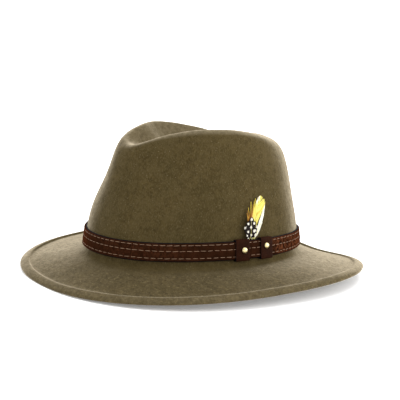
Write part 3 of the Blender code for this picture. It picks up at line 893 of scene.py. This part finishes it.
# How far the barbs' tips reach from the shaft, in millimetres to the left and
# right, by the share of the feather's length that the tips have reached
REACH = {
    "guinea": (
        (0.00, 1.0, 1.0), (0.10, 3.0, 3.0), (0.20, 5.2, 5.0), (0.38, 6.6, 6.2), (0.56, 7.6, 7.4),
        (0.76, 5.6, 6.0), (0.90, 2.4, 2.6), (0.97, 1.5, 1.6), (1.00, 0.6, 0.6),
    ),
    "amber": (
        (0.00, 0.3, 0.3), (0.25, 1.9, 1.4), (0.45, 3.2, 2.0), (0.58, 3.4, 2.6), (0.70, 1.2, 1.6),
        (1.00, 0.4, 0.6),
    ),
    "yellow": (
        (0.00, 0.3, 0.3), (0.25, 2.4, 1.9), (0.49, 3.9, 2.8), (0.63, 4.7, 5.6), (0.77, 3.7, 8.0),
        (0.84, 3.1, 9.3), (0.90, 2.9, 7.2), (0.96, 2.2, 3.6), (1.00, 0.4, 0.4),
    ),
    "cream": (
        (0.00, 0.3, 0.3), (0.20, 1.6, 1.9), (0.50, 2.0, 2.5), (0.75, 1.3, 1.5), (0.94, 0.6, 0.8),
        (1.00, 0.2, 0.2),
    ),
}

# The amber feather's long wisps: the share where each leaves the shaft, where
# its tip stands (across and up, in millimetres), and which of its tones it has
WISPS = (
    (0.10, -3.6, 23.5, 0.10), (0.30, -1.7, 28.4, 0.05), (0.22, -2.9, 26.0, 0.95),
    (0.42, 1.2, 33.0, 0.20), (0.40, 2.6, 30.6, 0.95), (0.45, 4.9, 34.0, 0.80),
    (0.50, 6.4, 35.4, 0.30),
)

# A barb: its steps from shaft to tip, half its thickness, the corners of its
# section in half widths and half thicknesses, and its steepest climb; then
# half a wisp's width
BARB_STEPS = 9
BARB_HALF_THICK = 0.00004
BARB_CORNERS = ((-1.0, -1.0), (1.0, -1.0), (1.0, 1.0), (-1.0, 1.0))
BARB_CLIMB = 0.33
WISP_HALF_WIDTH = 0.00032

# The barbs' colours at the root, at the tip and in streaks, and where along a
# barb the first changes to the second
BARB_COLOURS = {
    "amber": ((0.42, 0.16, 0.02), (0.66, 0.52, 0.06), (0.16, 0.070, 0.028), (0.45, 0.70)),
    "yellow": ((0.78, 0.73, 0.180), (0.86, 0.86, 0.80), (0.66, 0.46, 0.05), (0.78, 0.92)),
    "cream": ((0.82, 0.80, 0.68), (0.80, 0.74, 0.42), (0.86, 0.85, 0.78), (0.55, 0.95)),
}

# The locks: the chance that one starts at a barb, and how far its climb and
# its tone may go either way
LOCK_CHANCE = 0.16
LOCK_CLIMB = 0.16
LOCK_TONE = 0.25

# The guinea feather's dots: steps of their staggered rows, and where the rows start
DOT_STEP_ACROSS = 0.0063
DOT_STEP_UP = 0.0034
DOTS_ACROSS = 20.5
DOTS_UP = -0.7


def feather_place(name, crown, share, across, lift=0.0):
    """A place on a feather by share of its length, distance across and lift off its layer."""
    feather = FEATHERS[name]
    free = max(share, 0.0)
    shift = feather.quill + feather.lean * free + feather.bend * 4 * free * (1 - free) + across
    turn = BETWEEN_KEEPERS + math.degrees(shift / (HEAD_WIDTH / 2))
    ease = part_way(share * feather.length, GAP, EASE_RISE)
    out = GAP + FEATHER_CLEARANCE + feather.layer * ease * ease * (3 - 2 * ease)
    out += TIP_OUT * free * free
    return crown.place(turn, BAND_HEIGHT + feather.length * share, out + lift)


def barb_path(name, side, share, climb):
    """Across and up along one barb, from the shaft out to the feather's outline."""
    length = FEATHERS[name].length
    tip = min(share + climb * (1.0 - share ** 3), 1.0)
    shares, *sides = zip(*REACH[name])
    wide = 0.001 * float(np.interp(tip, shares, sides[side]))
    path = []
    for k in range(BARB_STEPS):
        u = k / (BARB_STEPS - 1)
        path.append((wide * (1 - (1 - u) ** 1.5), (share + (tip - share) * u ** 1.1) * length))
    return path


def draw_barbs(name, rng):
    """Both sides' barbs, drawn into locks, each as its side, path, tone and half width."""
    feather = FEATHERS[name]
    strands = []
    for side, sign in ((0, -1.0), (1, 1.0)):
        lock, lock_tone, lock_end = 0.0, 0.0, 0.0
        for i in range(feather.barbs):
            share = 0.01 + (feather.barbed - 0.01) * i / (feather.barbs - 1)
            if rng.random() < LOCK_CHANCE:
                lock = rng.uniform(-LOCK_CLIMB, LOCK_CLIMB)
                lock_tone = rng.uniform(-LOCK_TONE, LOCK_TONE)
                lock_end = rng.uniform(-0.09 if side else -0.04, 0.03)
            rise = feather.climb * (1.0 + lock + rng.uniform(-0.05, 0.05))
            path = barb_path(name, side, share, min(rise, BARB_CLIMB))
            trim = 1.0 + lock_end + rng.uniform(-0.05, 0.02)
            tone = min(max(rng.random() + lock_tone, 0.0), 1.0)
            if name == "yellow" and side == 1 and share > 0.30:
                tone = 0.30 + 0.62 * tone
            foot = share * feather.length
            path = [(x * trim, foot + (y - foot) * trim) for x, y in path]
            strands.append((sign, path, tone, feather.half_width))
    return strands


def draw_wisps(length, rng):
    """The amber feather's wisps, three hairs to each: up along the shaft, then bending out."""
    strands = []
    for share, across, up, tone in WISPS:
        for _ in range(3):
            tip_across = 0.001 * (across + rng.uniform(-0.25, 0.25))
            tip_up = 0.001 * (up + rng.uniform(-1.2, 0.1))
            path = []
            for k in range(BARB_STEPS):
                u = k / (BARB_STEPS - 1)
                path.append((tip_across * u ** 0.8, share * length + (tip_up - share * length) * u))
            strands.append((1.0, path, tone, WISP_HALF_WIDTH))
    return strands


class Vane:
    """A feather's points and faces, with what its finish reads at each point."""

    def __init__(self):
        self.points, self.faces = [], []
        self.along, self.own, self.uvs = [], [], []

    def add(self, spot, along, own, uv):
        self.points.append(spot)
        self.along.append(along)
        self.own.append(own)
        self.uvs.append(uv)

    def close(self, rings, sides):
        """Lays faces over the last rings of points and closes both ends."""
        first = len(self.points) - rings * sides
        for face in loop_faces(rings, sides):
            self.faces.append(tuple(first + i for i in face))


def add_strand(vane, grid, sign, path, tone, width, lift):
    """One barb or wisp: a thin four-sided strip that narrows to its tip."""
    for k, (x, y) in enumerate(path):
        u = k / (BARB_STEPS - 1)
        ahead = path[min(k + 1, BARB_STEPS - 1)]
        behind = path[max(k - 1, 0)]
        run = math.hypot(ahead[0] - behind[0], ahead[1] - behind[1]) or 1.0
        half = width * (1.0 - 0.72 * u ** 1.8)
        side_x = half * (ahead[1] - behind[1]) / run
        side_y = -half * (ahead[0] - behind[0]) / run
        for way, rise in BARB_CORNERS:
            px, py = sign * (x + way * side_x), y + way * side_y
            spot = grid.at(px, py, lift + 0.0003 * u * (1 - u) + rise * BARB_HALF_THICK)
            vane.add(spot, min(py / grid.length, 1.0) * (0.8 if sign > 0 else 1.0), tone, (px, py))
    vane.close(BARB_STEPS, len(BARB_CORNERS))


def add_shaft(vane, name, crown):
    """The feather's shaft, from behind the band up."""
    length = FEATHERS[name].length
    rings = 16
    sides = 6
    below = 0.75 * BAND_HEIGHT / length
    for k in range(rings):
        share = -below + (FEATHERS[name].shaft + below) * k / (rings - 1)
        radius = 0.00036 * (1.0 - 0.7 * max(share, 0.0))
        middle = feather_place(name, crown, share, 0.0)
        ahead = feather_place(name, crown, share + 0.02, 0.0)
        run = (ahead - middle).normalized()
        sideways = feather_place(name, crown, share, 0.001) - middle
        out = run.cross(sideways).normalized()
        sideways = out.cross(run).normalized()
        for across, up in circle(sides):
            spot = middle + sideways * radius * across + out * radius * up
            vane.add(spot, max(share, 0.0), 0.0, (0.0, share * length))
    vane.close(rings, sides)


def make_feather(name, crown, finish, shaft_finish, seed):
    """A shaft with barbs on both sides, drawn into locks as a real feather's are."""
    rng = np.random.default_rng(seed)
    grid = FeatherGrid(name, crown)
    strands = draw_barbs(name, rng)
    if name == "amber":
        strands += draw_wisps(grid.length, rng)
    vane = Vane()
    for sign, path, tone, half_width in strands:
        lift = rng.uniform(-0.00014, 0.00022)
        add_strand(vane, grid, sign, path, tone, half_width * rng.uniform(0.8, 1.25), lift)
    barb_count = len(vane.faces)
    add_shaft(vane, name, crown)
    mesh = closed_mesh(name + "_vane", vane.points, vane.faces, finish, shaft_finish)
    for face in mesh.polygons:
        face.material_index = int(face.index >= barb_count)
    point_values(mesh, "along", vane.along)
    point_values(mesh, "own", vane.own)
    uv = mesh.uv_layers.new(name="vane")
    for loop in mesh.loops:
        px, py = vane.uvs[loop.vertex_index]
        drawn_in = 1.0 + 0.55 * part_way(0.0066 - py, 0.0, 0.0025)
        u = px * drawn_in / DOT_STEP_ACROSS + DOTS_ACROSS
        uv.data[loop.index].uv = (u, py / DOT_STEP_UP + DOTS_UP)
    finish_piece(new_object(name + "_vane", mesh), name + "_barbs", name + "_feather")


class FeatherGrid:
    """Quick places on a feather, read between the points of a coarse grid."""

    def __init__(self, name, crown):
        self.length = FEATHERS[name].length
        self.xs = np.linspace(-0.016, 0.016, 9)
        self.ys = np.linspace(-0.1, 1.5, 17)
        self.base, self.out = np.zeros((2, len(self.ys), len(self.xs), 3))
        for j, share in enumerate(self.ys):
            for i, across in enumerate(self.xs):
                low = feather_place(name, crown, share, across)
                high = feather_place(name, crown, share, across, 0.001)
                self.base[j, i] = low
                self.out[j, i] = (high - low) / 0.001

    def at(self, across, up, lift):
        fx = (across - self.xs[0]) / (self.xs[1] - self.xs[0])
        fy = (up / self.length - self.ys[0]) / (self.ys[1] - self.ys[0])
        i = int(min(max(fx, 0), len(self.xs) - 2))
        j = int(min(max(fy, 0), len(self.ys) - 2))
        u, v = fx - i, fy - j
        total = np.zeros(3)
        for dj, up_share in ((0, 1 - v), (1, v)):
            for di, across_share in ((0, 1 - u), (1, u)):
                spot = self.base[j + dj, i + di] + lift * self.out[j + dj, i + di]
                total += across_share * up_share * spot
        return Vector(total)


def make_trim(crown):
    """Both keepers with their rivets, and the four feathers from the back one to the front one."""
    keeper_skins = (
        leather_finish("keeper_leather", (0.0165, 0.0052, 0.0024), (0.0260, 0.0080, 0.0036), 0.5),
        leather_finish("edge_paint", (0.004, 0.004, 0.006), (0.008, 0.007, 0.010), 0.4, 0.3),
    )
    brass = brass_finish()
    make_keeper("keeper_loop_front", "keeper_front", FRONT_KEEPER, crown, keeper_skins)
    make_keeper("keeper_loop_rear", "keeper_rear", REAR_KEEPER, crown, keeper_skins)
    middle = BAND_HEIGHT / 2
    make_rivet("rivet_dome_front", "rivet_front", FRONT_RIVET, middle, crown, brass)
    make_rivet("rivet_dome_rear", "rivet_rear", REAR_RIVET, middle + REAR_RIVET_RISE, crown, brass)
    shaft = barb_finish("feather_shaft", (0.55, 0.50, 0.14), (0.80, 0.72, 0.40), (0.60, 0.52, 0.20))
    finishes = {"guinea": dotted_finish()}
    for name, colours in BARB_COLOURS.items():
        finishes[name] = barb_finish(name + "_barbs", *colours)
    for seed, name in enumerate(("cream", "yellow", "amber", "guinea"), 41):
        make_feather(name, crown, finishes[name], shaft, seed)


# Studio

# The photograph's view: degrees round from the wearer's left to the front, up
# and of roll; the picture's side, the view's length and the aimed-at place, in
# the picture's dots; and the spot that is aimed at, in metres
VIEW_ROUND = 32.983
VIEW_UP = 9.929
VIEW_ROLL = -2.15
PICTURE = 400.0
VIEW_LENGTH = 1080.0
AIM_ACROSS = 194.687
AIM_DOWN = 204.315
AIMED_AT = (0.0, 0.0007, 0.060)

# The lamps: name, place, height of the spot over the floor's middle that each
# is aimed at, size and power
LAMPS = (
    ("overhead", (-0.1, 0.2, 1.6), 0.05, (1.8, 1.8), 17.0),
    ("behind", (-1.15, 0.75, 1.25), 0.06, (1.8, 1.4), 22.0),
    ("front_right", (1.5, 1.0, 0.9), 0.06, (1.2, 1.0), 9.0),
    ("right_side", (0.85, 1.45, 0.42), 0.04, (1.4, 0.7), 13.0),
)


def make_camera():
    """The photograph's view of the hat's left side, a metre away."""
    round_turn = math.radians(VIEW_ROUND)
    up_turn = math.radians(VIEW_UP)
    roll = math.radians(VIEW_ROLL)
    level = math.cos(up_turn)
    back = Vector((level * math.cos(round_turn), -level * math.sin(round_turn), math.sin(up_turn)))
    right = Vector((math.sin(round_turn), math.cos(round_turn), 0.0))
    up = back.cross(right)
    right_rolled = right * math.cos(roll) - up * math.sin(roll)
    up_rolled = right * math.sin(roll) + up * math.cos(roll)
    data = bpy.data.cameras.new("camera")
    data.sensor_width = 36.0
    data.lens = data.sensor_width * VIEW_LENGTH / PICTURE
    data.shift_x = (PICTURE / 2 - AIM_ACROSS) / PICTURE
    data.shift_y = (AIM_DOWN - PICTURE / 2) / PICTURE
    data.clip_start = 0.05
    data.clip_end = 20.0
    camera = new_object("camera", data)
    spot = Vector(AIMED_AT) + back
    turn = Matrix((right_rolled, up_rolled, back)).transposed()
    camera.matrix_world = Matrix.Translation(spot) @ turn.to_4x4()
    bpy.context.scene.camera = camera


def make_lamp(name, spot, aim_height, size, power):
    """A large soft white lamp at a spot, aimed over the floor's middle."""
    data = bpy.data.lights.new(name, "AREA")
    data.shape = "RECTANGLE"
    data.size = size[0]
    data.size_y = size[1]
    data.energy = power
    lamp = new_object(name, data)
    lamp.location = spot
    aim = Vector((0.0, 0.0, aim_height))
    lamp.rotation_euler = (aim - Vector(spot)).to_track_quat("-Z", "Y").to_euler()


def make_studio():
    """White paper on the floor, an even white surround and four soft lamps."""
    corners = ((-6, -6, 0), (6, -6, 0), (6, 6, 0), (-6, 6, 0))
    floor_mesh = mesh_from("floor", corners, ((0, 1, 2, 3),))
    floor = new_object("floor", floor_mesh)
    paper = Finish("white_paper")
    tone = paper.blend(paper.noise(paper.place(), 3.0, 2.0), (0.90, 0.90, 0.90), (0.92, 0.92, 0.92))
    floor.data.materials.append(paper.finish(
        Base_Color=tone, Roughness=0.9, Specular_IOR_Level=0.1,
        Emission_Color=(1.0, 1.0, 1.0), Emission_Strength=0.20,
    ))
    world = bpy.data.worlds.new("studio")
    world.use_nodes = True
    light = world.node_tree.nodes["Background"].inputs
    light["Color"].default_value = (1.0, 1.0, 1.0, 1.0)
    light["Strength"].default_value = 1.18
    for lamp in LAMPS:
        make_lamp(*lamp)
    scene = bpy.context.scene
    scene.world = world
    scene.view_settings.view_transform = "Standard"
    scene.view_settings.look = "None"


make_camera()
make_studio()
felt = make_felt()
crown = Crown(felt)
make_nap(felt)
make_band(crown)
make_stitches(crown)
make_trim(crown)
